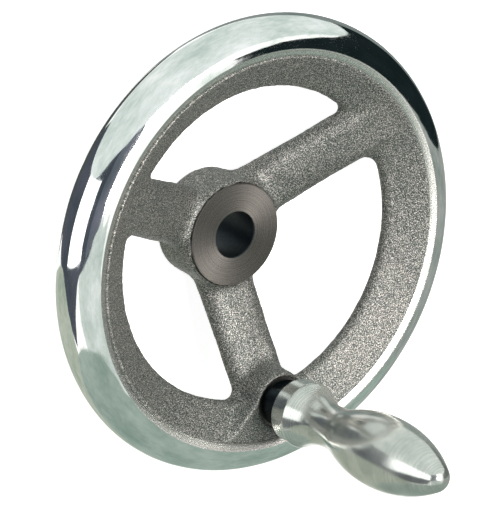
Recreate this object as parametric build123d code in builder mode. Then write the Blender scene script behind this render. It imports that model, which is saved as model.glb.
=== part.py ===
from build123d import *
import math
import os

# Machine handwheel, dished, with three spokes and a revolving handle. Millimetres.
# Origin: centre of the bore on the rear face of the hub. +Z: along the bore, towards the
# handle. The handle stands at the end of the spoke that runs along -Y.

# ---------------------------------------------------------------- rim
rim_diameter = 160.0
wheel_height = 40.9           # rear face of the hub to the front of the rim
bead_half_width = 11.4        # radial half axis of the oval bead
bead_half_depth = 10.2        # axial half axis of the oval bead
land_inset = 9.7              # rim edge to the turned land between bead and raw casting
land_width = 2.7
rim_depth = 25.0              # rim edge to the rounded nose between the spokes
nose_radius = 3.1

# ---------------------------------------------------------------- hub
hub_diameter = 36.0           # turned end faces
hub_length = 20.0
hub_step = 1.3                # depth that is turned at each end
hub_lip = 0.9                 # raw side stands out past the turned faces
bore_diameter = 16.0

# ---------------------------------------------------------------- spokes
spoke_count = 3
spoke_width = 21.4            # at the hub
spoke_thickness = 10.6        # at the hub
spoke_narrowing = 1.8         # how much narrower and thinner a spoke is at the rim
spoke_cover = 1.0             # front of the rim to a spoke's top, carried on to the land
spoke_foot_height = 11.0      # centre line of a spoke where it leaves the hub
spoke_hub_fillet = 2.5
spoke_rim_fillet = 5.0

# ---------------------------------------------------------------- boss for the handle
handle_inset = 24.7           # rim edge to handle axis
boss_drop = 0.3               # front of the rim to the raw top of the boss
boss_diameter = 20.6
boss_flank_angle = 50.0       # between a flank and the spoke, in plan
boss_flank_offset = 8.4       # handle axis to a flank
boss_flank_fillet = 4.0       # where the round of the boss turns into a flank
boss_draft_angle = 3.0
boss_foot_ratio = 0.18        # foot of the boss, from the rear of the nose up to the spoke's top
boss_edge_fillet = 0.5
boss_foot_fillet = 3.0
seat_diameter = 18.6          # spot face under the spindle
seat_depth = 0.6

# ---------------------------------------------------------------- handle spindle
stud_diameter = 10.0          # M10, screwed into the boss
stud_length = 14.0
stud_chamfer = 1.0
collar_diameter = 16.4
collar_height = 9.2
collar_flats = 14.0           # across the two spanner flats
collar_foot = 1.6             # round foot left below the flats
collar_chamfer = 0.4
journal_diameter = 10.0
journal_ratio = 0.7           # length of the journal over the length of the sleeve
journal_chamfer = 0.8

# ---------------------------------------------------------------- handle sleeve
sleeve_length = 80.0
flange_diameter = 21.9
flange_ratio = 0.07875        # heights up the sleeve are shares of its length
shoulder_diameter = 22.9
neck_diameter = 15.0
neck_ratio = 0.25375
belly_diameter = 25.2
belly_ratio = 0.6075
tip_radius = 5.5
flange_chamfer = 0.3

# ---------------------------------------------------------------- retaining ring
ring_width = 1.2              # along the axis
ring_depth = 1.3              # radial
ring_setback = 6.0            # ring centre to the end of the journal
ring_opening = 40.0           # degrees left open in the ring
groove_depth = 0.7            # in the journal

# ---------------------------------------------------------------- clearances
journal_clearance = 0.05      # radial, sleeve bore over journal
axial_play = 0.15             # sleeve above the collar
bore_end_gap = 2.0            # end of the journal to the bottom of the sleeve bore
groove_clearance = 0.1        # ring in the journal groove, along the axis
ring_clearance = 0.3          # sleeve groove around the ring
flush = 0.001                 # edges this near to a level count as lying in it


# ---------------------------------------------------------------- wheel casting
# Rim section: an oval bead, a narrow turned land on each side, and two raw cones that
# run from the lands to the rounded nose, tangent to it.
rim_radius = rim_diameter / 2
bead_centre_radius = rim_radius - bead_half_width
land_outer = rim_radius - land_inset
land_inner = land_outer - land_width
land_angle = math.degrees(math.acos((land_outer - bead_centre_radius) / bead_half_width))
land_rise = bead_half_depth * math.sin(math.radians(land_angle))
mid_plane = wheel_height - land_rise
nose_centre = rim_radius - rim_depth + nose_radius
cone_length = math.hypot(land_inner - nose_centre, land_rise)
cone_angle = math.atan2(land_rise, land_inner - nose_centre) - math.asin(nose_radius / cone_length)
tangent_radius = nose_centre - nose_radius * math.sin(cone_angle)
tangent_rise = nose_radius * math.cos(cone_angle)

# Spokes: straight bars of flat oval section that climb from the hub to the nose and
# taper a little all round on the way.
hub_radius = hub_diameter / 2
bore_radius = bore_diameter / 2
spoke_run = nose_centre - hub_radius
spoke_end_height = wheel_height - spoke_cover - (spoke_thickness - spoke_narrowing) / 2
spoke_slope = (spoke_end_height - spoke_foot_height) / (land_inner - hub_radius)
spoke_root = (bore_radius + hub_radius) / 2
mid_radius = (hub_radius + nose_centre) / 2
spoke_stretch = math.hypot(1, spoke_slope)
spoke_length = spoke_stretch * (bead_centre_radius - spoke_root)
spoke_taper = math.atan(spoke_narrowing / 2 / (spoke_stretch * spoke_run))
root_growth = 2 * math.tan(spoke_taper) * spoke_stretch * (hub_radius - spoke_root)


def spoke_height(radius):
    """Height of a spoke's centre line at a radius from the wheel axis."""
    return spoke_foot_height + spoke_slope * (radius - hub_radius)


def spoke_depth(radius):
    """Thickness of a spoke at a radius from the wheel axis."""
    return spoke_thickness - 2 * math.tan(spoke_taper) * spoke_stretch * (radius - hub_radius)


spoke_plane = Plane(
    (spoke_root, 0, spoke_height(spoke_root)),
    x_dir=(0, 1, 0),
    z_dir=(1, 0, spoke_slope),
)


def axis_distance(edge):
    """Distance from the wheel axis to the middle of an edge."""
    return math.hypot(edge.center().X, edge.center().Y)


with BuildPart() as spoke:
    with BuildSketch(spoke_plane):
        SlotOverall(spoke_width + root_growth, spoke_thickness + root_growth)
    extrude(amount=spoke_length, taper=math.degrees(spoke_taper))

# Boss outline in plan: a round about the handle axis, and two flanks that flare to the rim.
handle_radius = rim_radius - handle_inset
boss_height = wheel_height - boss_drop
boss_radius = boss_diameter / 2
flank_angle = math.radians(boss_flank_angle)
flank_x = boss_flank_offset * math.cos(flank_angle)
flank_y = handle_radius - boss_flank_offset * math.sin(flank_angle)
flank_along = flank_x * math.sin(flank_angle) + flank_y * math.cos(flank_angle)
flank_across = math.hypot(flank_x, flank_y) ** 2 - land_outer**2
flank_length = math.sqrt(flank_along**2 - flank_across) - flank_along
flank_end_x = flank_x + flank_length * math.sin(flank_angle)
flank_end_y = flank_y + flank_length * math.cos(flank_angle)
boss_inner = handle_radius - boss_radius
spoke_top = spoke_height(boss_inner) + spoke_stretch * spoke_depth(boss_inner) / 2
nose_rear = mid_plane - tangent_rise
boss_foot = nose_rear + boss_foot_ratio * (spoke_top - nose_rear)

with BuildPart() as wheel_casting:
    with BuildSketch(Plane.XZ):
        with BuildLine():
            bead = EllipticalCenterArc(
                (bead_centre_radius, mid_plane),
                bead_half_width,
                bead_half_depth,
                start_angle=-land_angle,
                arc_size=2 * land_angle,
            )
            front = Polyline(
                bead @ 1,
                (land_inner, mid_plane + land_rise),
                (tangent_radius, mid_plane + tangent_rise),
            )
            back = Polyline(
                bead @ 0,
                (land_inner, mid_plane - land_rise),
                (tangent_radius, mid_plane - tangent_rise),
            )
            ThreePointArc(front @ 1, (nose_centre - nose_radius, mid_plane), back @ 1)
        make_face()
    revolve(axis=Axis.Z)

    # hub: a raw barrel between two turned faces
    with BuildSketch():
        Circle(hub_radius)
    extrude(amount=hub_length)
    with BuildSketch(Plane.XY.offset(hub_step)):
        Circle(hub_radius + hub_lip)
    extrude(amount=hub_length - 2 * hub_step)

    # spokes, with cast fillets where they run into the rim and the hub
    with PolarLocations(0, spoke_count, start_angle=-90):
        add(spoke.part)
    seams = wheel_casting.edges(Select.NEW)
    fillet(seams.filter_by(lambda edge: axis_distance(edge) > mid_radius), spoke_rim_fillet)
    fillet(seams.filter_by(lambda edge: axis_distance(edge) < mid_radius), spoke_hub_fillet)

    # boss for the handle, with a cast fillet round its foot and a rounded crest
    with BuildSketch(Plane.XY.offset(boss_height)) as boss_plan:
        with BuildLine():
            Polyline(
                (-flank_x, -flank_y),
                (-flank_end_x, -flank_end_y),
                (0, -land_outer),
                (flank_end_x, -flank_end_y),
                (flank_x, -flank_y),
                close=True,
            )
        make_face()
        with Locations((0, -handle_radius)):
            Circle(boss_radius)
        fillet(boss_plan.vertices().group_by(Axis.Y)[-1], boss_flank_fillet)
    extrude(amount=boss_foot - boss_height, taper=-boss_draft_angle)
    seams = wheel_casting.edges(Select.NEW)
    fillet(seams.filter_by(lambda edge: edge.center().Z < boss_height - flush), boss_foot_fillet)
    crest = wheel_casting.edges().filter_by(lambda edge: abs(edge.center().Z - boss_height) < flush)
    fillet(crest.sort_by(Axis.Y)[1:], boss_edge_fillet)

    # bore, and the spot-faced tapped hole for the spindle
    with Locations((0, 0, hub_length)):
        Hole(bore_radius)
    with Locations((0, -handle_radius, boss_height)):
        CounterBoreHole(stud_diameter / 2, seat_diameter / 2, seat_depth)

wheel_casting.part.label = "wheel_casting"

# ---------------------------------------------------------------- handle spindle
handle_plane = Plane.XZ.offset(handle_radius)
handle_axis = Axis((0, -handle_radius, 0), (0, 0, 1))
seat_height = boss_height - seat_depth
collar_top = seat_height + collar_height
journal_end = collar_top + journal_ratio * sleeve_length
stud_radius = stud_diameter / 2
collar_radius = collar_diameter / 2
journal_radius = journal_diameter / 2
ring_height = journal_end - ring_setback
ring_radius = journal_radius - groove_depth + ring_depth / 2
groove_half = ring_width / 2 + groove_clearance

with BuildPart() as handle_spindle:
    with BuildSketch(handle_plane):
        with BuildLine():
            Polyline(
                (0, seat_height - stud_length),
                (stud_radius - stud_chamfer, seat_height - stud_length),
                (stud_radius, seat_height - stud_length + stud_chamfer),
                (stud_radius, seat_height),
                (collar_radius, seat_height),
                (collar_radius, collar_top - collar_chamfer),
                (collar_radius - collar_chamfer, collar_top),
                (journal_radius, collar_top),
                (journal_radius, ring_height - groove_half),
                (journal_radius - groove_depth, ring_height - groove_half),
                (journal_radius - groove_depth, ring_height + groove_half),
                (journal_radius, ring_height + groove_half),
                (journal_radius, journal_end - journal_chamfer),
                (journal_radius - journal_chamfer, journal_end),
                (0, journal_end),
                close=True,
            )
        make_face()
    revolve(axis=handle_axis)

    # two spanner flats on the collar
    with BuildSketch(Plane.XY.offset(collar_top)):
        for side in (-1, 1):
            with Locations((0, side * collar_flats - handle_radius)):
                Rectangle(collar_diameter, collar_flats)
    extrude(amount=collar_foot - collar_height, mode=Mode.SUBTRACT)

handle_spindle.part.label = "handle_spindle"

# ---------------------------------------------------------------- handle sleeve
# Turned outline: flange, shoulder, hollow neck, belly and round tip, all tangent arcs.
sleeve_rear = collar_top + axial_play
sleeve_tip = sleeve_rear + sleeve_length
neck_radius = neck_diameter / 2
belly_radius = belly_diameter / 2
shoulder_radius = shoulder_diameter / 2
flange_radius = flange_diameter / 2
neck_height = sleeve_rear + neck_ratio * sleeve_length
belly_height = sleeve_rear + belly_ratio * sleeve_length
flange_top = sleeve_rear + flange_ratio * sleeve_length
tip_height = sleeve_tip - tip_radius


def arc_pair(run, rise):
    """Sum of the radii of two tangent arcs that step by rise over run, level at both ends."""
    return (run**2 + rise**2) / (2 * rise)


tip_run = tip_height - belly_height
belly_curve = (tip_run**2 + belly_radius**2 - tip_radius**2) / (2 * (belly_radius - tip_radius))
neck_curve = arc_pair(belly_height - neck_height, belly_radius - neck_radius) - belly_curve
shoulder_curve = arc_pair(neck_height - flange_top, shoulder_radius - neck_radius) - neck_curve
belly_centre = Vector(belly_radius - belly_curve, belly_height)
neck_centre = Vector(neck_radius + neck_curve, neck_height)
shoulder_centre = Vector(shoulder_radius - shoulder_curve, flange_top)
tip_centre = Vector(0, tip_height)
tip_joint = tip_centre + (tip_centre - belly_centre).normalized() * tip_radius
belly_joint = belly_centre + (neck_centre - belly_centre).normalized() * belly_curve
neck_joint = shoulder_centre + (neck_centre - shoulder_centre).normalized() * shoulder_curve
sleeve_bore = journal_radius + journal_clearance
sleeve_groove = ring_radius + ring_depth / 2 + ring_clearance
sleeve_groove_half = ring_width / 2 + ring_clearance
bore_bottom = journal_end + bore_end_gap

with BuildPart() as handle_sleeve:
    with BuildSketch(handle_plane):
        with BuildLine():
            front = TangentArc((belly_radius, belly_height), tip_joint, tangent=(0, 1))
            TangentArc(front @ 1, (0, sleeve_tip), tangent=front % 1)
            waist = TangentArc((belly_radius, belly_height), belly_joint, tangent=(0, -1))
            neck = TangentArc(waist @ 1, neck_joint, tangent=waist % 1)
            TangentArc(neck @ 1, (shoulder_radius, flange_top), tangent=neck % 1)
            Polyline(
                (shoulder_radius, flange_top),
                (flange_radius, flange_top),
                (flange_radius, sleeve_rear + flange_chamfer),
                (flange_radius - flange_chamfer, sleeve_rear),
                (sleeve_bore, sleeve_rear),
                (sleeve_bore, ring_height - sleeve_groove_half),
                (sleeve_groove, ring_height - sleeve_groove_half),
                (sleeve_groove, ring_height + sleeve_groove_half),
                (sleeve_bore, ring_height + sleeve_groove_half),
                (sleeve_bore, bore_bottom),
                (0, bore_bottom),
                (0, sleeve_tip),
            )
        make_face()
    revolve(axis=handle_axis)

handle_sleeve.part.label = "handle_sleeve"

# ---------------------------------------------------------------- retaining ring
ring_start = math.radians(90 + ring_opening / 2)
ring_plane = Plane(
    (0, -handle_radius, 0),
    x_dir=(math.cos(ring_start), math.sin(ring_start), 0),
    z_dir=(math.sin(ring_start), -math.cos(ring_start), 0),
)

with BuildPart() as retaining_ring:
    with BuildSketch(ring_plane):
        with Locations((ring_radius, ring_height)):
            Rectangle(ring_depth, ring_width)
    revolve(axis=handle_axis, revolution_arc=360 - ring_opening)

retaining_ring.part.label = "retaining_ring"

os.makedirs("parts", exist_ok=True)
export_step(wheel_casting.part, "parts/wheel_casting.step")
export_step(handle_spindle.part, "parts/handle_spindle.step")
export_step(handle_sleeve.part, "parts/handle_sleeve.step")
export_step(retaining_ring.part, "parts/retaining_ring.step")
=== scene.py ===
"""Machine handwheel: dished cast iron wheel with a polished rim, and a revolving steel handle.

Metres, in the frame's own place: the wheel axis is Z, and the rear face of the hub is at Z = 0.
"""

import math

import bpy
import bmesh
import numpy as np
from mathutils import Matrix, Vector


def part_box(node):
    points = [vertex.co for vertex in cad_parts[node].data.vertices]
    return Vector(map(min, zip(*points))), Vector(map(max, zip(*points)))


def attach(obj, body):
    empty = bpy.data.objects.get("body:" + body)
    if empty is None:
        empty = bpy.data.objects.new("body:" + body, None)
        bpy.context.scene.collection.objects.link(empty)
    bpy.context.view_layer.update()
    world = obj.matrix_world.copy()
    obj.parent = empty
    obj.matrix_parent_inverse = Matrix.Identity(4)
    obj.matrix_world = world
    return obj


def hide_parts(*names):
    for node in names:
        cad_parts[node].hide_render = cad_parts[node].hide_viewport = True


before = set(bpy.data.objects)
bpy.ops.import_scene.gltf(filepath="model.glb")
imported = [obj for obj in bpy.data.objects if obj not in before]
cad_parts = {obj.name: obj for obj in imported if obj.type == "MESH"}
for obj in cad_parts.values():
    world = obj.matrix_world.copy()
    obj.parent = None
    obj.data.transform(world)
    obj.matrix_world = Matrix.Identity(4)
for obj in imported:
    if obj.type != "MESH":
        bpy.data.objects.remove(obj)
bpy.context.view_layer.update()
mm = 0.001

# Camera: a long lens, two metres away, above the front of the wheel and rolled so that
# the arm with the handle hangs to the lower right.
wheel_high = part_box("wheel_casting")[1]
rim_radius = wheel_high[0]
wheel_front = wheel_high[2]
land_height = 10.09 * mm
mid_plane = wheel_front - land_height
view_azimuth = math.radians(144.2)
view_elevation = math.radians(48.9)
view_roll = math.radians(-114.86)
view_distance = 2.0
framing = Vector((-1.46 * mm, -3.04 * mm))
image_height = 505
pixels_per_metre = 2973.1

towards = Vector(
    (
        math.cos(view_elevation) * math.cos(view_azimuth),
        math.cos(view_elevation) * math.sin(view_azimuth),
        math.sin(view_elevation),
    )
)
level_right = Vector((-math.sin(view_azimuth), math.cos(view_azimuth), 0))
level_up = towards.cross(level_right)
camera_up = level_up * math.cos(view_roll) + level_right * math.sin(view_roll)
camera_right = camera_up.cross(towards)
camera = bpy.data.objects.new("camera", bpy.data.cameras.new("camera"))
bpy.context.scene.collection.objects.link(camera)
camera_place = Vector((0, 0, mid_plane)) + towards * view_distance
camera_place += camera_right * framing.x + camera_up * framing.y
turn = Matrix((camera_right, camera_up, towards)).transposed()
camera.matrix_world = Matrix.Translation(camera_place) @ turn.to_4x4()
camera.data.lens = camera.data.sensor_width * pixels_per_metre * view_distance / image_height
camera.data.clip_end = 20
bpy.context.scene.camera = camera
bpy.context.scene.view_settings.view_transform = "Standard"


# Room: a white floor under the hub, white all round, and large soft lamps. Polished metal
# needs something to show, so a tent of white, grey and dark cards stands round the wheel,
# seen only in its reflections.
def linear(colour):
    """Linear RGBA of an sRGB hex colour: c / 12.92 up to 0.04045, else ((c + 0.055) / 1.055) ** 2.4."""
    srgb = np.array([int(colour[start : start + 2], 16) for start in (1, 3, 5)]) / 255
    return (*np.where(srgb <= 0.04045, srgb / 12.92, ((srgb + 0.055) / 1.055) ** 2.4), 1.0)


def add_node(tree, kind, inputs, **settings):
    """Adds a shader node with its settings. An input is a value, or the output that feeds it."""
    node = tree.nodes.new(kind)
    for name, value in settings.items():
        setattr(node, name, value)
    for name, value in inputs.items():
        if isinstance(value, bpy.types.NodeSocket):
            tree.links.new(value, node.inputs[name])
        else:
            node.inputs[name].default_value = value
    return node


def new_material(name):
    """An empty node material and its tree."""
    material = bpy.data.materials.new(name)
    material.use_nodes = True
    material.node_tree.nodes.clear()
    return material, material.node_tree


floor_size = 6.0
floor_glow = 0.85
mesh = bpy.data.meshes.new("floor")
mesh.from_pydata(
    [(x * floor_size / 2, y * floor_size / 2, 0) for x, y in ((-1, -1), (1, -1), (1, 1), (-1, 1))],
    [],
    [(0, 1, 2, 3)],
)
floor = bpy.data.objects.new("floor", mesh)
bpy.context.scene.collection.objects.link(floor)
floor.visible_glossy = False
floor_paint, tree = new_material("white_floor")
light_path = add_node(tree, "ShaderNodeLightPath", {})
paint = add_node(tree, "ShaderNodeBsdfDiffuse", {"Color": linear("#f2f3f2")})
glow_share = add_node(
    tree,
    "ShaderNodeMath",
    {0: light_path.outputs["Is Camera Ray"], 1: floor_glow},
    operation="MULTIPLY",
)
glow = add_node(
    tree, "ShaderNodeEmission", {"Color": (1, 1, 1, 1), "Strength": glow_share.outputs[0]}
)
lit_paint = add_node(tree, "ShaderNodeAddShader", {0: paint.outputs[0], 1: glow.outputs[0]})
add_node(tree, "ShaderNodeOutputMaterial", {"Surface": lit_paint.outputs[0]})
floor.data.materials.append(floor_paint)

world = bpy.data.worlds.new("room")
bpy.context.scene.world = world
world.use_nodes = True
tree = world.node_tree
tree.nodes.clear()
light_path = add_node(tree, "ShaderNodeLightPath", {})
seen_or_through = add_node(
    tree,
    "ShaderNodeMath",
    {0: light_path.outputs["Is Camera Ray"], 1: light_path.outputs["Is Transmission Ray"]},
    operation="MAXIMUM",
)
fill = add_node(tree, "ShaderNodeBackground", {"Color": linear("#e1ece7"), "Strength": 0.3})
mirrored = add_node(tree, "ShaderNodeBackground", {"Color": linear("#fffdfb"), "Strength": 1.3})
white = add_node(tree, "ShaderNodeBackground", {"Color": (1, 1, 1, 1), "Strength": 1.0})
lit_or_mirrored = add_node(
    tree,
    "ShaderNodeMixShader",
    {0: light_path.outputs["Is Glossy Ray"], 1: fill.outputs[0], 2: mirrored.outputs[0]},
)
shown = add_node(
    tree,
    "ShaderNodeMixShader",
    {0: seen_or_through.outputs[0], 1: lit_or_mirrored.outputs[0], 2: white.outputs[0]},
)
add_node(tree, "ShaderNodeOutputWorld", {"Surface": shown.outputs[0]})


def card(
    name, azimuth, elevation, half_width, half_height, colour, distance, form="band", strength=1.0
):
    """A card of the tent, in degrees round the wheel: the point at (s, t), each from -1 to 1, lies at
    bearing azimuth + half_width * s and elevation + half_height * t. A round card first takes s to
    s * sqrt(1 - t * t / 2) and t likewise, and a diamond takes them to half their sum and difference."""
    steps = 25
    s, t = np.meshgrid(np.linspace(-1, 1, steps), np.linspace(-1, 1, steps))
    if form == "round":
        s, t = s * np.sqrt(1 - t**2 / 2), t * np.sqrt(1 - s**2 / 2)
    if form == "diamond":
        s, t = (s + t) / 2, (s - t) / 2
    u = np.radians(azimuth + half_width * s)
    v = np.radians(elevation + half_height * t)
    points = distance * np.stack([np.cos(v) * np.cos(u), np.cos(v) * np.sin(u), np.sin(v)], -1)
    points = points.reshape(-1, 3) + [0, 0, mid_plane]
    corner = (np.arange(steps - 1)[:, None] * steps + np.arange(steps - 1)).ravel()
    faces = np.stack([corner, corner + steps, corner + steps + 1, corner + 1], 1)
    mesh = bpy.data.meshes.new(name)
    mesh.from_pydata(points.tolist(), [], faces.tolist())
    shape = bpy.data.objects.new(name, mesh)
    bpy.context.scene.collection.objects.link(shape)
    paint, tree = new_material(name)
    light = add_node(tree, "ShaderNodeEmission", {"Color": linear(colour), "Strength": strength})
    add_node(tree, "ShaderNodeOutputMaterial", {"Surface": light.outputs[0]})
    mesh.materials.append(paint)
    shape.visible_camera = False
    shape.visible_diffuse = False
    shape.visible_shadow = False
    shape.visible_transmission = False


card("card_window", 165.5, 11.5, 17.5, 23.5, "#ffffff", 1.0, strength=2.2)
card("card_right", 85, 1, 64, 64, "#f0f6f3", 1.1, "round", strength=1.0)
card("card_left", 269, 12, 51, 46, "#a3b2a9", 1.15, "round")
card("card_black", 3.5, 19, 18.5, 41, "#1b2426", 1.2)
card("card_low", 238, -33, 50, 37, "#bfc5b7", 1.25, "round")
card("card_grey", 323, 17, 23, 41, "#a3a7a3", 1.3)
card("card_under", 10, -46, 28, 24, "#8b9391", 1.35)
card("card_dark_point", 187, 5, 30, 31, "#50545e", 1.4, "diamond")
card("card_dark_top", 145, 62, 42, 13, "#6d717c", 1.42)
card("card_dark_foot", 115, -77, 90, 12, "#4e5352", 1.43)
card("card_dark", 154.5, -2.5, 35, 77.5, "#50545e", 1.45)
card("card_pale", 243, 57, 58, 24, "#dfe6e1", 1.5)


def lamp(name, right, up, front, size, watts, colour, in_metal):
    """A square soft lamp aimed at the wheel, placed right of, above and in front of it as the camera
    sees it."""
    data = bpy.data.lights.new(name, "AREA")
    data.shape = "SQUARE"
    data.size = size
    data.energy = watts
    data.color = linear(colour)[:3]
    shape = bpy.data.objects.new(name, data)
    bpy.context.scene.collection.objects.link(shape)
    aim = camera_right * right + camera_up * up + towards * front
    shape.location = Vector((0, 0, mid_plane)) + aim
    shape.rotation_euler = aim.to_track_quat("Z", "Y").to_euler()
    shape.visible_glossy = in_metal
    shape.visible_camera = False


lamp("lamp_key", 0.95, -0.1, 1.2, 0.8, 25, "#fffbf8", in_metal=True)
lamp("lamp_top", 0.3, 1.3, 0.6, 0.8, 6, "#f2fff8", in_metal=False)


# Rim: the heavy oval bead of the casting with a narrow turned land on each side. Grey cast
# iron, turned all over, and the bead then polished on a mop to a mirror.
def skin(name, points, faces, body, material, sharp=35):
    """Puts points and faces into a piece on a body, shaded smooth up to the sharp angle."""
    mesh = bpy.data.meshes.new(name)
    mesh.from_pydata(points.tolist(), [], list(faces))
    mesh.polygons.foreach_set("use_smooth", np.ones(len(mesh.polygons), bool))
    mesh.set_sharp_from_angle(angle=math.radians(sharp))
    mesh.materials.append(material)
    piece = bpy.data.objects.new(name, mesh)
    bpy.context.scene.collection.objects.link(piece)
    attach(piece, body)
    return piece


def lathe(profile, steps, centre=(0.0, 0.0)):
    """Surface of revolution of a closed profile of (radius, height): the point at angle a is
    (x + radius cos a, y + radius sin a, height). The profile runs anticlockwise."""
    radius, height = np.asarray(profile, float).T
    angle = np.linspace(0, 2 * np.pi, steps, endpoint=False)
    points = np.stack(
        [
            centre[0] + np.outer(np.cos(angle), radius),
            centre[1] + np.outer(np.sin(angle), radius),
            np.tile(height, (steps, 1)),
        ],
        -1,
    )
    count = len(radius)
    i, j = np.meshgrid(np.arange(steps), np.arange(count), indexing="ij")
    i_next, j_next = (i + 1) % steps, (j + 1) % count
    faces = np.stack(
        [i * count + j, i_next * count + j, i_next * count + j_next, i * count + j_next], -1
    )
    return points.reshape(-1, 3), faces.reshape(-1, 4)


bead_half_width = 11.4 * mm
bead_half_depth = 10.2 * mm
land_outer = 70.3 * mm
land_inner = 67.6 * mm
bead_centre = rim_radius - bead_half_width
bead_end = math.acos((land_outer - bead_centre) / bead_half_width)

# Mopped iron: a mirror with faint waves, and with strokes that run round the rim and dull it in
# places. The real strokes are finer than 0.9 mm, and are drawn at that width to show. Their noise
# is read on a circle, whose radius in strokes is strokes_around.
mirror_iron, tree = new_material("mopped_iron")
where = add_node(tree, "ShaderNodeTexCoord", {})
level_place = add_node(
    tree, "ShaderNodeVectorMath", {0: where.outputs["Object"], 1: (1, 1, 0)}, operation="MULTIPLY"
)
radius = add_node(tree, "ShaderNodeVectorMath", {0: level_place.outputs[0]}, operation="LENGTH")
bearing = add_node(
    tree, "ShaderNodeVectorMath", {0: level_place.outputs[0]}, operation="NORMALIZE"
)
height = add_node(tree, "ShaderNodeSeparateXYZ", {0: where.outputs["Object"]})
stroke_width = 0.9 * mm
stroke_length = 3 * mm
stroked_radius = 78 * mm
strokes_around = stroked_radius / stroke_length
around = add_node(
    tree,
    "ShaderNodeVectorMath",
    {0: bearing.outputs[0], "Scale": strokes_around},
    operation="SCALE",
)
across = add_node(
    tree,
    "ShaderNodeMath",
    {0: radius.outputs["Value"], 1: 1 / stroke_width},
    operation="MULTIPLY",
)
along = add_node(
    tree, "ShaderNodeMath", {0: height.outputs[2], 1: 1 / stroke_width}, operation="MULTIPLY"
)
outward = add_node(tree, "ShaderNodeCombineXYZ", {2: across.outputs[0]})
stroke_place = add_node(
    tree, "ShaderNodeVectorMath", {0: around.outputs[0], 1: outward.outputs[0]}, operation="ADD"
)
strokes = add_node(
    tree,
    "ShaderNodeTexNoise",
    {"Vector": stroke_place.outputs[0], "W": along.outputs[0], "Scale": 1.0, "Detail": 3.0},
    noise_dimensions="4D",
)
stroke_to_smear = 0.2
smear_place = add_node(
    tree,
    "ShaderNodeVectorMath",
    {0: stroke_place.outputs[0], "Scale": stroke_to_smear},
    operation="SCALE",
)
smear_row = add_node(
    tree, "ShaderNodeMath", {0: along.outputs[0], 1: stroke_to_smear}, operation="MULTIPLY"
)
smears = add_node(
    tree,
    "ShaderNodeTexNoise",
    {"Vector": smear_place.outputs[0], "W": smear_row.outputs[0], "Scale": 1.0, "Detail": 4.0},
    noise_dimensions="4D",
)
mopped = add_node(
    tree,
    "ShaderNodeMath",
    {0: strokes.outputs["Fac"], 1: 0.35, 2: smears.outputs["Fac"]},
    operation="MULTIPLY_ADD",
)
dulled = add_node(
    tree, "ShaderNodeMapRange", {0: mopped.outputs[0], 1: 0.45, 2: 0.9, 3: 0.0, 4: 1.0}
)
wave_length = 14 * mm
waves = add_node(
    tree,
    "ShaderNodeTexNoise",
    {"Vector": where.outputs["Object"], "Scale": 1 / wave_length, "Detail": 1.0},
)
blur = add_node(
    tree,
    "ShaderNodeMapRange",
    {0: strokes.outputs["Fac"], 1: 0.35, 2: 0.75, 3: 0.035, 4: 0.12},
)
tint = add_node(
    tree,
    "ShaderNodeMix",
    {0: dulled.outputs[0], 6: linear("#ffffff"), 7: linear("#c3cfca")},
    data_type="RGBA",
)
wavy = add_node(
    tree,
    "ShaderNodeBump",
    {"Height": waves.outputs["Fac"], "Strength": 0.35, "Distance": 0.5 * mm},
)
stroked = add_node(
    tree,
    "ShaderNodeBump",
    {
        "Height": strokes.outputs["Fac"],
        "Strength": 0.25,
        "Distance": 0.01 * mm,
        "Normal": wavy.outputs[0],
    },
)
metal = add_node(
    tree,
    "ShaderNodeBsdfPrincipled",
    {
        "Base Color": tint.outputs[2],
        "Metallic": 1.0,
        "Roughness": blur.outputs[0],
        "Normal": stroked.outputs[0],
    },
)
add_node(tree, "ShaderNodeOutputMaterial", {"Surface": metal.outputs[0]})


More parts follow.
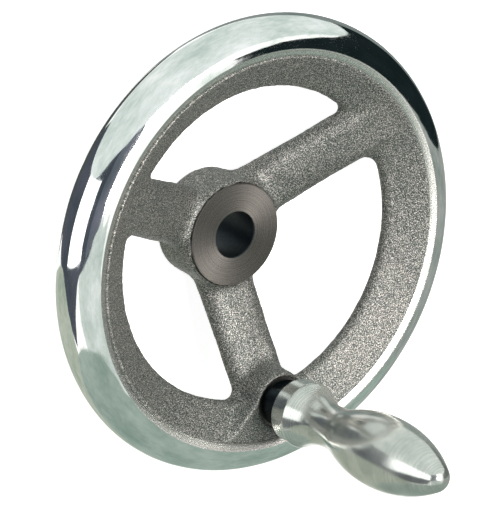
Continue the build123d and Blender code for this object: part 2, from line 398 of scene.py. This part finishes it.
def turned(name, dark, light, roughness):
    """Turned iron: a satin face with the tool's rings round the wheel axis, sin(2 pi radius / feed),
    and grey flecks of graphite. The rings are drawn coarser than the real feed, so that they show."""
    material, tree = new_material(name)
    where = add_node(tree, "ShaderNodeTexCoord", {})
    level_place = add_node(
        tree,
        "ShaderNodeVectorMath",
        {0: where.outputs["Object"], 1: (1, 1, 0)},
        operation="MULTIPLY",
    )
    radius = add_node(
        tree, "ShaderNodeVectorMath", {0: level_place.outputs[0]}, operation="LENGTH"
    )
    feed = 0.45 * mm
    uneven_feed = 0.36 * mm
    fleck = 0.4 * mm
    ring_phase = add_node(
        tree,
        "ShaderNodeMath",
        {0: radius.outputs["Value"], 1: 2 * math.pi / feed},
        operation="MULTIPLY",
    )
    rings = add_node(tree, "ShaderNodeMath", {0: ring_phase.outputs[0]}, operation="SINE")
    ring_count = add_node(
        tree,
        "ShaderNodeMath",
        {0: radius.outputs["Value"], 1: 1 / uneven_feed},
        operation="MULTIPLY",
    )
    uneven = add_node(
        tree,
        "ShaderNodeTexNoise",
        {"W": ring_count.outputs[0], "Scale": 1.0, "Detail": 3.0},
        noise_dimensions="1D",
    )
    grain = add_node(
        tree,
        "ShaderNodeTexNoise",
        {"Vector": where.outputs["Object"], "Scale": 1 / fleck, "Detail": 2.0},
    )
    ringed = add_node(
        tree,
        "ShaderNodeMath",
        {0: rings.outputs[0], 1: 0.1, 2: uneven.outputs["Fac"]},
        operation="MULTIPLY_ADD",
    )
    flecked = add_node(
        tree,
        "ShaderNodeMath",
        {0: grain.outputs["Fac"], 1: 1.2, 2: ringed.outputs[0]},
        operation="MULTIPLY_ADD",
    )
    scored = add_node(
        tree,
        "ShaderNodeBump",
        {"Height": flecked.outputs[0], "Strength": 0.6, "Distance": 0.06 * mm},
    )
    shade = add_node(
        tree,
        "ShaderNodeMapRange",
        {0: flecked.outputs[0], 1: 0.75, 2: 1.45, 3: 0.0, 4: 1.0},
    )
    tint = add_node(
        tree,
        "ShaderNodeMix",
        {0: shade.outputs[0], 6: linear(dark), 7: linear(light)},
        data_type="RGBA",
    )
    round_axis = add_node(tree, "ShaderNodeTangent", {}, axis="Z")
    metal = add_node(
        tree,
        "ShaderNodeBsdfPrincipled",
        {
            "Base Color": tint.outputs[2],
            "Metallic": 1.0,
            "Roughness": roughness,
            "Anisotropic": 0.75,
            "Normal": scored.outputs[0],
            "Tangent": round_axis.outputs[0],
        },
    )
    add_node(tree, "ShaderNodeOutputMaterial", {"Surface": metal.outputs[0]})
    return material


# The land and the hub faces are the same turned iron: the land's tints are painted light, painted
# reflection, and the hub faces' and the seat's tints painted dark, painted shade.
land_iron_painted_light = turned("turned_land_iron", "#a9a7a2", "#efeeea", 0.27)

rim_steps = 640
bead_steps = 90
bead_angle = np.linspace(-bead_end, bead_end, bead_steps)
bead_lap = 0.3 * mm
land_edge = 0.15 * mm
land_fall = 0.5 * mm
skin_depth = 1.2 * mm
bead_profile = np.stack(
    [
        bead_centre + bead_half_width * np.cos(bead_angle),
        mid_plane + bead_half_depth * np.sin(bead_angle),
    ],
    -1,
)
bead_back = [
    (land_outer - bead_lap, wheel_front - skin_depth),
    (land_outer - bead_lap, mid_plane - land_height + skin_depth),
]
points, faces = lathe(np.concatenate([bead_profile, bead_back]), rim_steps)
skin("rim_bead", points, faces, "wheel", mirror_iron)
for side, name in ((1, "rim_land_front"), (-1, "rim_land_rear")):
    level = mid_plane + side * land_height
    land_profile = [
        (land_inner, level - side * skin_depth),
        (land_outer + land_edge, level - side * skin_depth),
        (land_outer + land_edge, level - side * land_edge),
        (land_outer, level),
        (land_inner + land_edge, level - side * land_fall),
        (land_inner, level - side * (land_fall + land_edge)),
    ]
    points, faces = lathe(land_profile[::side], rim_steps)
    skin(name, points, faces, "wheel", land_iron_painted_light)


# Raw casting: hub barrel, three spokes, the inside of the rim and the boss, all as they left
# the sand. Grey cast iron, shot blasted, with a grain of rounded bumps over it. Its mesh is an
# even skin over the frame's casting, left open where a turned surface covers it.
skin_pitch = 0.58 * mm
halfway = 0.5
cad_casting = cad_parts["wheel_casting"]
solid = bmesh.new()
solid.from_mesh(cad_casting.data)
bmesh.ops.remove_doubles(solid, verts=solid.verts, dist=0.001 * mm)
raw_mesh = bpy.data.meshes.new("casting_skin")
solid.to_mesh(raw_mesh)
solid.free()
raw = bpy.data.objects.new("casting_skin", raw_mesh)
bpy.context.scene.collection.objects.link(raw)
remesh = raw.modifiers.new("even_mesh", "REMESH")
remesh.mode = "VOXEL"
remesh.voxel_size = skin_pitch
settled = raw.modifiers.new("rounded", "SMOOTH")
settled.factor = halfway
settled.iterations = 2
bpy.context.view_layer.update()
even = raw.evaluated_get(bpy.context.evaluated_depsgraph_get()).to_mesh()
points = np.empty(len(even.vertices) * 3)
even.vertices.foreach_get("co", points)
points = points.reshape(-1, 3)
normals = np.empty(len(even.vertices) * 3)
even.vertices.foreach_get("normal", normals)
normals = normals.reshape(-1, 3)
loops = np.empty(len(even.loops), int)
even.loops.foreach_get("vertex_index", loops)
faces = loops.reshape(-1, 4)
bpy.data.objects.remove(raw)

sleeve_low, sleeve_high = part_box("handle_sleeve")
handle_radius = -(sleeve_low[1] + sleeve_high[1]) / 2
hub_radius = 18.0 * mm
hub_step = 1.3 * mm
hub_length = 20.0 * mm
seat_radius = 9.3 * mm
seat_height = 40.0 * mm
from_axis = np.hypot(points[:, 0], points[:, 1])
from_handle = np.hypot(points[:, 0], points[:, 1] + handle_radius)
from_mid_hub = abs(points[:, 2] - hub_length / 2)
barrel_half = hub_length / 2 - hub_step

# Under a turned surface the skin runs on by a small lap, and beyond that it is left out.
rim_lap = 0.8 * mm
bore_lap = 0.5 * mm
hub_lap = 0.45 * mm
step_lap = 0.3 * mm
seat_lap = 0.1 * mm
seat_depth = 1 * mm
in_hub_end = (from_axis < hub_radius + hub_lap) & (from_mid_hub > barrel_half + step_lap)
in_seat = (from_handle < seat_radius - seat_lap) & (points[:, 2] > seat_height - seat_depth)
hidden = (from_axis > land_inner + rim_lap) | (from_axis < hub_radius - bore_lap)
hidden |= in_hub_end | in_seat


def sand_grain(points, wave_length, seed, waves=70):
    """Bumps of about unit size: the sum of plane waves of random bearing and phase, with lengths
    round wave_length, divided by the square root of half their number."""
    random = np.random.default_rng(seed)
    bearing = random.normal(size=(waves, 3))
    bearing /= np.linalg.norm(bearing, axis=1)[:, None]
    length = wave_length * random.uniform(0.75, 1.6, waves)
    phase = random.uniform(0, 2 * np.pi, waves)
    total = np.zeros(len(points))
    for way, step, start in zip(bearing, length, phase):
        total += np.sin(points @ way * (2 * np.pi / step) + start)
    return total / math.sqrt(waves / 2)


def soften(points, faces, weight, passes):
    """Moves each point towards the mean of its neighbours along the edges, again and again:
    point + weight * (mean - point). Hollows fill and corners round."""
    start = faces.ravel()
    end = np.roll(faces, -1, axis=1).ravel()
    share = np.bincount(start, minlength=len(points)) + np.bincount(end, minlength=len(points))
    for _ in range(passes):
        mean = np.stack(
            [
                np.bincount(start, points[end, axis], len(points))
                + np.bincount(end, points[start, axis], len(points))
                for axis in range(3)
            ],
            -1,
        )
        points = points + weight[:, None] * (mean / share[:, None] - points)
    return points


# Crown of the spokes: a flat-topped section with round edges is drawn in towards an oval of the
# same width and thickness. At the share t of the half width, and the share e of the way round
# the edge, the height is scaled by sqrt(1 - t ** 2) / sqrt(1 - e ** 2).
spoke_half_width = 10.7 * mm
spoke_half_depth = 5.3 * mm
spoke_flat_half = spoke_half_width - spoke_half_depth
spoke_foot = 11.0 * mm
spoke_slope = 0.4939
spoke_stretch = math.hypot(1, spoke_slope)
spoke_start = 24 * mm
spoke_end = 48 * mm
blend_run = 9 * mm
boss_reach = 12 * mm
reach_across = 12 * mm
reach_above = 6.5 * mm
crown_share = 0.8
nearly_edge = 0.999
for spoke_bearing in np.radians([-90, 30, 150]):
    along = points[:, 0] * math.cos(spoke_bearing) + points[:, 1] * math.sin(spoke_bearing)
    across = points[:, 1] * math.cos(spoke_bearing) - points[:, 0] * math.sin(spoke_bearing)
    above = points[:, 2] - spoke_foot - spoke_slope * (along - hub_radius)
    above /= spoke_stretch
    out_share = np.clip(abs(across) / spoke_half_width, 0, 1)
    edge_share = np.clip((abs(across) - spoke_flat_half) / spoke_half_depth, 0, nearly_edge)
    oval = np.sqrt(1 - out_share**2) / np.sqrt(1 - edge_share**2)
    ease = np.clip((along - spoke_start) / blend_run, 0, 1)
    ease *= np.clip((spoke_end - along) / blend_run, 0, 1)
    ease *= crown_share * (abs(across) < reach_across) * (abs(above) < reach_above)
    if spoke_bearing < 0:
        ease *= np.clip((from_handle - boss_reach) / blend_run, 0, 1)
    shift = above * (oval - 1) * ease
    points = points + shift[:, None] * np.array(
        [-spoke_slope * math.cos(spoke_bearing), -spoke_slope * math.sin(spoke_bearing), 1.0]
    ) / spoke_stretch

# Cast fillets: the skin is softened a little all over and much more round the hub, and is held
# still beside each turned surface.
land_margin = 1 * mm
seat_margin = 0.6 * mm
hub_margin = 1.4 * mm
step_margin = 0.5 * mm
held = (from_axis > land_inner - land_margin) | (from_handle < seat_radius + seat_margin)
held |= (from_axis < hub_radius + hub_margin) & (from_mid_hub > barrel_half - step_margin)
skin_passes = 4
hub_passes = 60
loose = np.where(held, 0.0, halfway)
points = soften(points, faces, loose, skin_passes)
hub_reach = 33 * mm
hub_blend_run = 8 * mm
near_hub = np.clip((hub_reach - from_axis) / hub_blend_run, 0, 1)
points = soften(points, faces, loose * near_hub, hub_passes)

# The grain fades beside the turned surfaces, and the skin dips under the lands.
fine_lump = 1.6 * mm
broad_lump = 7 * mm
broad_share = 0.8
grain_height = 0.035 * mm
fade_run = 0.8 * mm
least_grain = 0.25
land_lap = 0.2 * mm
land_dip = 0.75 * mm
lumps = sand_grain(points, fine_lump, seed=11)
lumps += broad_share * sand_grain(points, broad_lump, seed=12)
from_turned = np.minimum(abs(from_axis - land_inner), abs(from_handle - seat_radius))
fade = np.clip(from_turned / fade_run, least_grain, 1)
fade[from_handle < seat_radius] = 0
rise = grain_height * lumps * fade
rise[from_axis > land_inner - land_lap] = -land_dip
points = points + normals * rise[:, None]
faces = faces[~hidden[faces].all(axis=1)]
used, faces = np.unique(faces, return_inverse=True)
points = points[used]
faces = faces.reshape(-1, 4)

# Sand-cast iron: the print of the mould's sand. The grain's hollows are painted near black,
# painted shade, and its crests near white, painted glints. Its oxide makes it less than fully
# metallic.
sand_size = 0.33 * mm
patch_size = 16 * mm
sand_cast, tree = new_material("sand_cast_iron")
where = add_node(tree, "ShaderNodeTexCoord", {})
grit = add_node(
    tree,
    "ShaderNodeTexNoise",
    {
        "Vector": where.outputs["Object"],
        "Scale": 1 / sand_size,
        "Detail": 1.5,
        "Roughness": 0.6,
    },
)
patches = add_node(
    tree,
    "ShaderNodeTexNoise",
    {"Vector": where.outputs["Object"], "Scale": 1 / patch_size, "Detail": 3.0},
)
tint = add_node(
    tree,
    "ShaderNodeMix",
    {0: patches.outputs["Fac"], 6: linear("#576360"), 7: linear("#787672")},
    data_type="RGBA",
)
# Painted shade: where the grain's bump is low, in its hollows, the colour goes near black.
painted_pit_shade = add_node(
    tree,
    "ShaderNodeMapRange",
    {0: grit.outputs["Fac"], 1: 0.34, 2: 0.5, 3: 0.0, 4: 1.0},
)
with_painted_pit_shade = add_node(
    tree,
    "ShaderNodeMix",
    {0: painted_pit_shade.outputs[0], 6: linear("#27312d"), 7: tint.outputs[2]},
    data_type="RGBA",
)
# Painted glints: where the grain's bump is high, on its crests, the colour goes near white.
painted_crest_glints = add_node(
    tree,
    "ShaderNodeMapRange",
    {0: grit.outputs["Fac"], 1: 0.53, 2: 0.66, 3: 0.0, 4: 1.0},
)
with_painted_glints = add_node(
    tree,
    "ShaderNodeMix",
    {0: painted_crest_glints.outputs[0], 6: with_painted_pit_shade.outputs[2], 7: linear("#ded7d1")},
    data_type="RGBA",
)
gritty = add_node(
    tree,
    "ShaderNodeBump",
    {"Height": grit.outputs["Fac"], "Strength": 1.0, "Distance": 0.18 * mm},
)
metal = add_node(
    tree,
    "ShaderNodeBsdfPrincipled",
    {
        "Base Color": with_painted_glints.outputs[2],
        "Metallic": 0.68,
        "Roughness": 0.48,
        "Normal": gritty.outputs[0],
    },
)
add_node(tree, "ShaderNodeOutputMaterial", {"Surface": metal.outputs[0]})
casting = skin("raw_casting", points, faces, "wheel", sand_cast, sharp=180)
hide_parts("wheel_casting")


# Hub faces: both ends of the hub are turned square to the bore, a step inside the raw barrel,
# and the bore is reamed. The shaft comes through it.
bore_radius = 8.0 * mm
hub_chamfer = 0.25 * mm
face_lap = 0.6 * mm
bore_wall = 4 * mm
hub_steps = 240
# Painted shade: the hub faces and the seat take darker tints than the land's turned iron.
face_iron_painted_shade = turned("turned_face_iron", "#5a5653", "#88847f", 0.36)
for name, face, side in (("hub_face_front", hub_length, 1), ("hub_face_rear", 0.0, -1)):
    back = face - side * (hub_step + face_lap)
    ring = [
        (bore_radius + hub_chamfer, face),
        (bore_radius + hub_chamfer, back),
        (hub_radius, back),
        (hub_radius, face - side * hub_chamfer),
        (hub_radius - hub_chamfer, face),
    ]
    points, faces = lathe(ring[::side], hub_steps)
    skin(name, points, faces, "wheel", face_iron_painted_shade)

# Reamed iron, its grey painted dark, painted shade inside the bore, with the faint marks that
# the reamer leaves.
mark_size = 1.2 * mm
bore_iron_painted_shade, tree = new_material("bore_iron_painted_shade")
where = add_node(tree, "ShaderNodeTexCoord", {})
marks = add_node(
    tree,
    "ShaderNodeTexNoise",
    {"Vector": where.outputs["Object"], "Scale": 1 / mark_size, "Detail": 3.0},
)
# Painted shade: the bore's wall is coloured near black for the shade down the hole.
tint = add_node(
    tree,
    "ShaderNodeMix",
    {0: marks.outputs["Fac"], 6: linear("#262d31"), 7: linear("#3d4549")},
    data_type="RGBA",
)
metal = add_node(
    tree,
    "ShaderNodeBsdfPrincipled",
    {"Base Color": tint.outputs[2], "Metallic": 1.0, "Roughness": 0.5},
)
add_node(tree, "ShaderNodeOutputMaterial", {"Surface": metal.outputs[0]})
bore_profile = [
    (bore_radius + hub_chamfer, 0.0),
    (bore_radius + bore_wall, hub_step),
    (bore_radius + bore_wall, hub_length - hub_step),
    (bore_radius + hub_chamfer, hub_length),
    (bore_radius, hub_length - hub_chamfer),
    (bore_radius, hub_chamfer),
]
points, faces = lathe(bore_profile, hub_steps)
skin("hub_bore", points, faces, "wheel", bore_iron_painted_shade)


# Handle seat: the boss is spot faced round the tapped hole, so that the spindle's collar sits
# square on it. Part of the casting.
stud_radius = 5.0 * mm
boss_top = 40.6 * mm
seat_lip = 0.15 * mm
seat_wall = 0.5 * mm
seat_steps = 160
handle_centre = (0.0, -handle_radius)
seat_ring = [
    (stud_radius, seat_height - skin_depth),
    (seat_radius + seat_wall, seat_height - skin_depth),
    (seat_radius + seat_wall, boss_top - seat_lip),
    (seat_radius + seat_lip, boss_top),
    (seat_radius, boss_top - seat_lip),
    (seat_radius, seat_height),
    (stud_radius, seat_height),
]
points, faces = lathe(seat_ring, seat_steps, handle_centre)
skin("handle_seat", points, faces, "wheel", face_iron_painted_shade)


# Handle spindle: a shouldered screw that the sleeve turns on. Steel, turned, with two flats on
# its collar for a spanner. Its colour is painted blue black, painted shade and painted dark
# reflection under the sleeve, and it is a little uneven in gloss.
dark_mottle_size = 3 * mm
spindle_painted_shade, tree = new_material("steel_painted_shade")
where = add_node(tree, "ShaderNodeTexCoord", {})
dark_mottle = add_node(
    tree,
    "ShaderNodeTexNoise",
    {"Vector": where.outputs["Object"], "Scale": 1 / dark_mottle_size, "Detail": 4.0},
)
# Painted shade: the spindle is coloured blue black for the shade under the sleeve.
tint = add_node(
    tree,
    "ShaderNodeMix",
    {0: dark_mottle.outputs["Fac"], 6: linear("#1a2023"), 7: linear("#3a4347")},
    data_type="RGBA",
)
sheen = add_node(
    tree, "ShaderNodeMapRange", {0: dark_mottle.outputs["Fac"], 1: 0.3, 2: 0.7, 3: 0.22, 4: 0.4}
)
metal = add_node(
    tree,
    "ShaderNodeBsdfPrincipled",
    {"Base Color": tint.outputs[2], "Metallic": 1.0, "Roughness": sheen.outputs[0]},
)
add_node(tree, "ShaderNodeOutputMaterial", {"Surface": metal.outputs[0]})
collar_radius = 8.2 * mm
collar_top = 49.2 * mm
collar_chamfer = 0.4 * mm
flat_half = 7.0 * mm
collar_foot = 1.6 * mm
flat_foot = seat_height + collar_foot
stud_end = 26.0 * mm
stud_chamfer = 1.0 * mm
journal_radius = 5.0 * mm
journal_end = 105.2 * mm
journal_chamfer = 0.8 * mm
ring_height = 99.2 * mm
groove_half = 0.7 * mm
groove_radius = 4.3 * mm
# The collar's foot is round and its flats start above it, so that height is there twice, once
# round and once cut to the flats.
spindle_profile = np.array(
    [
        (0.0, stud_end),
        (stud_radius - stud_chamfer, stud_end),
        (stud_radius, stud_end + stud_chamfer),
        (stud_radius, seat_height),
        (collar_radius, seat_height),
        (collar_radius, flat_foot),
        (collar_radius, flat_foot),
        (collar_radius, collar_top - collar_chamfer),
        (collar_radius - collar_chamfer, collar_top),
        (journal_radius, collar_top),
        (journal_radius, ring_height - groove_half),
        (groove_radius, ring_height - groove_half),
        (groove_radius, ring_height + groove_half),
        (journal_radius, ring_height + groove_half),
        (journal_radius, journal_end - journal_chamfer),
        (journal_radius - journal_chamfer, journal_end),
        (0.0, journal_end),
    ]
)


def capped_lathe(profile, steps, centre, flat_rows=slice(0), flat_half=0.0):
    """Surface of revolution of a profile that starts and ends on its own axis, each pole one point.
    In flat_rows, counted without the poles and empty unless given, the radius is at most
    flat_half / |sin a|."""
    radius, height = np.asarray(profile, float).T
    angle = np.linspace(0, 2 * np.pi, steps, endpoint=False)
    reach = np.tile(radius[1:-1], (steps, 1))
    limit = flat_half / np.maximum(abs(np.sin(angle)), 1e-6)
    reach[:, flat_rows] = np.minimum(reach[:, flat_rows], limit[:, None])
    inner = np.stack(
        [
            centre[0] + reach * np.cos(angle)[:, None],
            centre[1] + reach * np.sin(angle)[:, None],
            np.tile(height[1:-1], (steps, 1)),
        ],
        -1,
    ).reshape(-1, 3)
    poles = [(*centre, height[0]), (*centre, height[-1])]
    count = len(radius) - 2
    i, j = np.meshgrid(np.arange(steps), np.arange(count - 1), indexing="ij")
    i_next = (i + 1) % steps
    quads = np.stack(
        [i * count + j, i_next * count + j, i_next * count + j + 1, i * count + j + 1], -1
    )
    low, high = steps * count, steps * count + 1
    ring = np.arange(steps)
    after = (ring + 1) % steps
    first_fan = np.stack([np.full(steps, low), after * count, ring * count], -1)
    last_fan = np.stack(
        [np.full(steps, high), ring * count + count - 1, after * count + count - 1], -1
    )
    faces = [*quads.reshape(-1, 4).tolist(), *first_fan.tolist(), *last_fan.tolist()]
    return np.concatenate([inner, poles]), faces


spindle_steps = 192
collar_rows = slice(5, 8)
points, faces = capped_lathe(
    spindle_profile, spindle_steps, handle_centre, collar_rows, flat_half
)
spindle = skin("spindle", points, faces, "wheel", spindle_painted_shade, sharp=20)
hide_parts("handle_spindle")


# Handle sleeve: the grip that turns in the hand, a flange, a hollow neck and a full belly that
# runs out to a round tip. Mild steel, turned on a copying lathe, then polished all over.
sleeve_rear = sleeve_low[2]
sleeve_tip = sleeve_high[2]
sleeve_length = sleeve_tip - sleeve_rear
flange_radius = 10.95 * mm
shoulder_radius = 11.45 * mm
neck_radius = 7.5 * mm
belly_radius = 12.6 * mm
tip_radius = 5.5 * mm
flange_chamfer = 0.3 * mm
flange_ratio = 0.07875
neck_ratio = 0.25375
belly_ratio = 0.6075
flange_top = sleeve_rear + flange_ratio * sleeve_length
neck_height = sleeve_rear + neck_ratio * sleeve_length
belly_height = sleeve_rear + belly_ratio * sleeve_length
tip_height = sleeve_tip - tip_radius


def arc_pair(run, rise):
    """Sum of the radii of two tangent arcs that step by rise over run, level at both ends."""
    return (run**2 + rise**2) / (2 * rise)


tip_run = tip_height - belly_height
belly_curve = (tip_run**2 + belly_radius**2 - tip_radius**2) / (2 * (belly_radius - tip_radius))
neck_curve = arc_pair(belly_height - neck_height, belly_radius - neck_radius) - belly_curve
shoulder_curve = arc_pair(neck_height - flange_top, shoulder_radius - neck_radius) - neck_curve
belly_centre = np.array([belly_radius - belly_curve, belly_height])
neck_centre = np.array([neck_radius + neck_curve, neck_height])
shoulder_centre = np.array([shoulder_radius - shoulder_curve, flange_top])


def arc(centre, curve, start, end, count):
    """Points of an arc of that radius about centre, from the angle start to the angle end."""
    angle = np.linspace(start, end, count)
    return centre + curve * np.stack([np.cos(angle), np.sin(angle)], -1)


def bearing_of(step):
    """Angle of a step (radius, height) from the radial direction."""
    return math.atan2(step[1], step[0])


to_shoulder = bearing_of(neck_centre - shoulder_centre)
to_belly = bearing_of(neck_centre - belly_centre)
to_tip = bearing_of(np.array([0, tip_height]) - belly_centre)
sleeve_bore = 5.05 * mm
bore_bottom = 107.2 * mm
ring_room_radius = 5.9 * mm
ring_room_half = 0.9 * mm
shoulder_points = 12
neck_points = 60
belly_points = 110
tip_points = 24
sleeve_profile = np.concatenate(
    [
        [
            (0.0, bore_bottom),
            (sleeve_bore, bore_bottom),
            (sleeve_bore, ring_height + ring_room_half),
            (ring_room_radius, ring_height + ring_room_half),
            (ring_room_radius, ring_height - ring_room_half),
            (sleeve_bore, ring_height - ring_room_half),
            (sleeve_bore, sleeve_rear),
            (flange_radius - flange_chamfer, sleeve_rear),
            (flange_radius, sleeve_rear + flange_chamfer),
            (flange_radius, flange_top),
        ],
        arc(shoulder_centre, shoulder_curve, 0, to_shoulder, shoulder_points),
        arc(
            neck_centre, neck_curve, to_shoulder + math.pi, to_belly + math.pi, neck_points
        )[1:-1],
        arc(belly_centre, belly_curve, to_belly, to_tip, belly_points),
        arc(np.array([0, tip_height]), tip_radius, to_tip, math.pi / 2, tip_points)[1:],
    ]
)
sleeve_profile[-1, 0] = 0.0

# Polished steel: bright and a little blurred, with fine lines round it, cloudy where hands have
# dulled it. The real lines are finer than 0.35 mm, and are drawn at that pitch to show.
line_pitch = 0.35 * mm
scratch_size = 0.5 * mm
cloud_size = 9 * mm
polished_steel, tree = new_material("polished_steel")
where = add_node(tree, "ShaderNodeTexCoord", {})
height = add_node(tree, "ShaderNodeSeparateXYZ", {0: where.outputs["Object"]})
rows = add_node(
    tree, "ShaderNodeMath", {0: height.outputs[2], 1: 1 / line_pitch}, operation="MULTIPLY"
)
lines = add_node(
    tree,
    "ShaderNodeTexNoise",
    {"W": rows.outputs[0], "Scale": 1.0, "Detail": 3.0},
    noise_dimensions="1D",
)
fine = add_node(
    tree,
    "ShaderNodeTexNoise",
    {"Vector": where.outputs["Object"], "Scale": 1 / scratch_size, "Detail": 2.0},
)
cloud = add_node(
    tree,
    "ShaderNodeTexNoise",
    {"Vector": where.outputs["Object"], "Scale": 1 / cloud_size, "Detail": 2.0},
)
scratches = add_node(
    tree,
    "ShaderNodeMath",
    {0: fine.outputs["Fac"], 1: 0.6, 2: lines.outputs["Fac"]},
    operation="MULTIPLY_ADD",
)
marked = add_node(
    tree,
    "ShaderNodeBump",
    {"Height": scratches.outputs[0], "Strength": 0.25, "Distance": 0.02 * mm},
)
patchy = add_node(
    tree,
    "ShaderNodeMath",
    {0: cloud.outputs["Fac"], 1: 1.5, 2: scratches.outputs[0]},
    operation="MULTIPLY_ADD",
)
worn = add_node(
    tree, "ShaderNodeMapRange", {0: patchy.outputs[0], 1: 1.05, 2: 2.05, 3: 0.0, 4: 1.0}
)
gloss = add_node(
    tree, "ShaderNodeMapRange", {0: cloud.outputs["Fac"], 1: 0.3, 2: 0.7, 3: 0.15, 4: 0.24}
)
tint = add_node(
    tree,
    "ShaderNodeMix",
    {0: worn.outputs[0], 6: linear("#a9b0aa"), 7: linear("#dfe2dd")},
    data_type="RGBA",
)
metal = add_node(
    tree,
    "ShaderNodeBsdfPrincipled",
    {
        "Base Color": tint.outputs[2],
        "Metallic": 0.82,
        "Roughness": gloss.outputs[0],
        "Normal": marked.outputs[0],
    },
)
add_node(tree, "ShaderNodeOutputMaterial", {"Surface": metal.outputs[0]})
sleeve_steps = 256
points, faces = capped_lathe(sleeve_profile, sleeve_steps, handle_centre)
sleeve = skin("sleeve", points, faces, "handle", polished_steel, sharp=25)
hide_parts("handle_sleeve")


# Retaining ring: a flat snap ring in the journal's groove that keeps the sleeve on. Spring
# steel, ground and tempered, so it is plain grey with a faint mottle.
mottle_size = 1.5 * mm
spring_steel, tree = new_material("spring_steel")
where = add_node(tree, "ShaderNodeTexCoord", {})
temper = add_node(
    tree,
    "ShaderNodeTexNoise",
    {"Vector": where.outputs["Object"], "Scale": 1 / mottle_size, "Detail": 2.0},
)
tint = add_node(
    tree,
    "ShaderNodeMix",
    {0: temper.outputs["Fac"], 6: linear("#5d6064"), 7: linear("#74777a")},
    data_type="RGBA",
)
metal = add_node(
    tree,
    "ShaderNodeBsdfPrincipled",
    {"Base Color": tint.outputs[2], "Metallic": 1.0, "Roughness": 0.3},
)
add_node(tree, "ShaderNodeOutputMaterial", {"Surface": metal.outputs[0]})
ring_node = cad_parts["retaining_ring"]
ring_node.data.materials.clear()
ring_node.data.materials.append(spring_steel)
